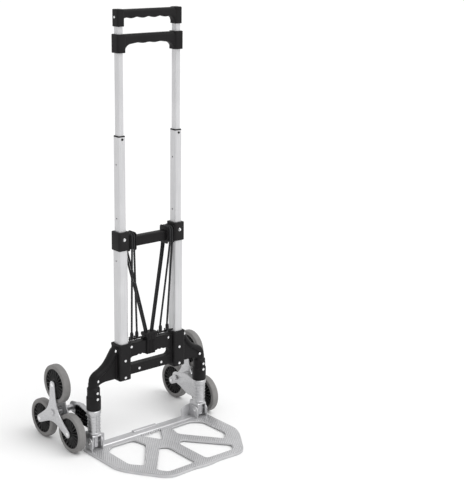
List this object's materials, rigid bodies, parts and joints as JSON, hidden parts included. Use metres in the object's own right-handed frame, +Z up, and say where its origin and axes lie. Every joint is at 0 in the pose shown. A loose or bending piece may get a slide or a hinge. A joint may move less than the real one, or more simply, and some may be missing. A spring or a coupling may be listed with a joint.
{
  "type": "stair climbing trolley",
  "caption": "Folding hand truck with a telescoping twin-tube frame, ribbed folding toe plate, elastic cords and two three-wheel stair clusters.",
  "frame": {"origin": "on the floor under the rear beam of the toe plate, on the centre plane between the legs", "axes": "+Z up, -Y towards the toe plate's tip, +Y towards the wheel clusters, +X to the right as seen from the toe plate's side"},
  "size_m": [0.4354, 0.4301, 1.025],
  "materials": {
    "tube_aluminium": "satin anodised",
    "cast_aluminium": "satin cast",
    "zinc_steel": "zinc plated",
    "chrome_post": "polished",
    "black_plastic": "fine matte",
    "hub_plastic": "matte",
    "grip_rubber": "soft matte",
    "grey_tyre": "matte grey rubber",
    "elastic_cord": "braided sleeve"
  },
  "bodies": {
    "base": {"base_housing": "black_plastic", "outer_tube_left": "tube_aluminium", "outer_tube_right": "tube_aluminium", "crossbar": "black_plastic", "cord_saddle_left": "black_plastic", "cord_saddle_right": "black_plastic", "cord_clamp": "black_plastic", "cord_left_outer": "elastic_cord", "cord_left_inner": "elastic_cord", "cord_right_inner": "elastic_cord", "cord_right_outer": "elastic_cord", "cord_hook_left_outer": "black_plastic", "cord_hook_left_inner": "black_plastic", "cord_hook_right_inner": "black_plastic", "cord_hook_right_outer": "black_plastic", "leg_post_left": "chrome_post", "leg_post_right": "chrome_post", "leg_foot_left": "zinc_steel", "leg_foot_right": "zinc_steel", "hinge_pin_left": "zinc_steel", "hinge_pin_right": "zinc_steel"},
    "middle_stage": {"middle_tube_left": "tube_aluminium", "middle_tube_right": "tube_aluminium", "guide_bush_left": "black_plastic", "guide_bush_right": "black_plastic"},
    "inner_stage": {"inner_tube_left": "tube_aluminium", "inner_tube_right": "tube_aluminium", "top_handle": "grip_rubber"},
    "middle_handle": {"middle_handle": "grip_rubber"},
    "toe_plate": {"toe_plate": "cast_aluminium"},
    "bracket_left": {"wheel_bracket_left": "zinc_steel", "cluster_axle_left": "zinc_steel"},
    "cluster_left": {"spider_inner_left": "zinc_steel", "spider_outer_left": "zinc_steel", "axle_spacer_left": "zinc_steel"},
    "wheel_left_top": {"tyre_left_top": "grey_tyre", "rim_left_top": "hub_plastic"},
    "wheel_left_front": {"tyre_left_front": "grey_tyre", "rim_left_front": "hub_plastic"},
    "wheel_left_back": {"tyre_left_back": "grey_tyre", "rim_left_back": "hub_plastic"},
    "bracket_right": {"wheel_bracket_right": "zinc_steel", "cluster_axle_right": "zinc_steel"},
    "cluster_right": {"spider_inner_right": "zinc_steel", "spider_outer_right": "zinc_steel", "axle_spacer_right": "zinc_steel"},
    "wheel_right_top": {"tyre_right_top": "grey_tyre", "rim_right_top": "hub_plastic"},
    "wheel_right_front": {"tyre_right_front": "grey_tyre", "rim_right_front": "hub_plastic"},
    "wheel_right_back": {"tyre_right_back": "grey_tyre", "rim_right_back": "hub_plastic"},
    "lock_button_lower_left": {"lock_button_lower_left": "zinc_steel"},
    "lock_button_lower_right": {"lock_button_lower_right": "zinc_steel"},
    "lock_button_upper_left": {"lock_button_upper_left": "zinc_steel"},
    "lock_button_upper_right": {"lock_button_upper_right": "zinc_steel"}
  },
  "joints": [
    {"name": "middle_stage_slide", "type": "slide", "parent": "base", "child": "middle_stage", "axis": [0, 0, 1], "range_m": [-0.205, 0]},
    {"name": "inner_stage_slide", "type": "slide", "parent": "middle_stage", "child": "inner_stage", "axis": [0, 0, 1], "range_m": [-0.18, 0]},
    {"name": "middle_handle_slide", "type": "slide", "parent": "inner_stage", "child": "middle_handle", "axis": [0, 0, 1], "range_m": [0, 0.013]},
    {"name": "toe_plate_hinge", "type": "hinge", "parent": "base", "child": "toe_plate", "pos_m": [0, 0, 0.025], "axis": [-1, 0, 0], "range_deg": [0, 88]},
    {"name": "bracket_left_swing", "type": "hinge", "parent": "base", "child": "bracket_left", "pos_m": [-0.158, 0.003, 0.05], "axis": [0, 0, 1], "range_deg": [-90, 0]},
    {"name": "bracket_right_swing", "type": "hinge", "parent": "base", "child": "bracket_right", "pos_m": [0.158, 0.003, 0.05], "axis": [0, 0, 1], "range_deg": [0, 90]},
    {"name": "cluster_left_spin", "type": "hinge", "parent": "bracket_left", "child": "cluster_left", "pos_m": [-0.1998, 0.093, 0.082], "axis": [1, 0, 0], "continuous": true},
    {"name": "wheel_left_top_spin", "type": "hinge", "parent": "cluster_left", "child": "wheel_left_top", "pos_m": [-0.1998, 0.093, 0.152], "axis": [1, 0, 0], "continuous": true},
    {"name": "wheel_left_front_spin", "type": "hinge", "parent": "cluster_left", "child": "wheel_left_front", "pos_m": [-0.1998, 0.03238, 0.047], "axis": [1, 0, 0], "continuous": true},
    {"name": "wheel_left_back_spin", "type": "hinge", "parent": "cluster_left", "child": "wheel_left_back", "pos_m": [-0.1998, 0.15362, 0.047], "axis": [1, 0, 0], "continuous": true},
    {"name": "cluster_right_spin", "type": "hinge", "parent": "bracket_right", "child": "cluster_right", "pos_m": [0.1998, 0.093, 0.082], "axis": [1, 0, 0], "continuous": true},
    {"name": "wheel_right_top_spin", "type": "hinge", "parent": "cluster_right", "child": "wheel_right_top", "pos_m": [0.1998, 0.093, 0.152], "axis": [1, 0, 0], "continuous": true},
    {"name": "wheel_right_front_spin", "type": "hinge", "parent": "cluster_right", "child": "wheel_right_front", "pos_m": [0.1998, 0.03238, 0.047], "axis": [1, 0, 0], "continuous": true},
    {"name": "wheel_right_back_spin", "type": "hinge", "parent": "cluster_right", "child": "wheel_right_back", "pos_m": [0.1998, 0.15362, 0.047], "axis": [1, 0, 0], "continuous": true},
    {"name": "lock_button_lower_left_press", "type": "slide", "parent": "base", "child": "lock_button_lower_left", "axis": [0, 1, 0], "range_m": [0, 0.002], "stiffness_N_per_m": 400, "springref_m": -0.002},
    {"name": "lock_button_lower_right_press", "type": "slide", "parent": "base", "child": "lock_button_lower_right", "axis": [0, 1, 0], "range_m": [0, 0.002], "stiffness_N_per_m": 400, "springref_m": -0.002},
    {"name": "lock_button_upper_left_press", "type": "slide", "parent": "middle_stage", "child": "lock_button_upper_left", "axis": [0, 1, 0], "range_m": [0, 0.002], "stiffness_N_per_m": 400, "springref_m": -0.002},
    {"name": "lock_button_upper_right_press", "type": "slide", "parent": "middle_stage", "child": "lock_button_upper_right", "axis": [0, 1, 0], "range_m": [0, 0.002], "stiffness_N_per_m": 400, "springref_m": -0.002}
  ]
}
